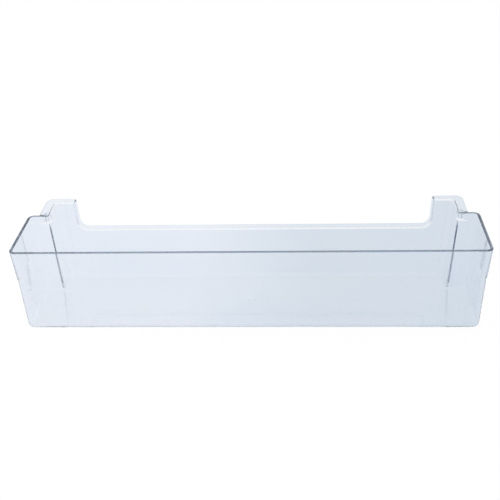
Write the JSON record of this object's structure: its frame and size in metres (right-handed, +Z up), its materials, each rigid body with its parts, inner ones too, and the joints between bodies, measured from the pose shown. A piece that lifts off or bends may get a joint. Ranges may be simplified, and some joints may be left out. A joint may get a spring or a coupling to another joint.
{
  "type": "fridge door shelf",
  "caption": "Clear moulded fridge door shelf: a long open tray with a narrower rear, a low back wall and tall rear corners whose flange hangs on the door liner.",
  "frame": {"origin": "middle of the underside, under the centre of the overall box", "axes": "+X along the shelf to its right end, +Y from the front wall to the back wall, +Z up"},
  "size_m": [0.482, 0.1185, 0.0965],
  "materials": {
    "clear_plastic": "clear polished polystyrene with a faint blue tint"
  },
  "bodies": {
    "root": {"door_shelf": "clear_plastic"}
  },
  "joints": []
}
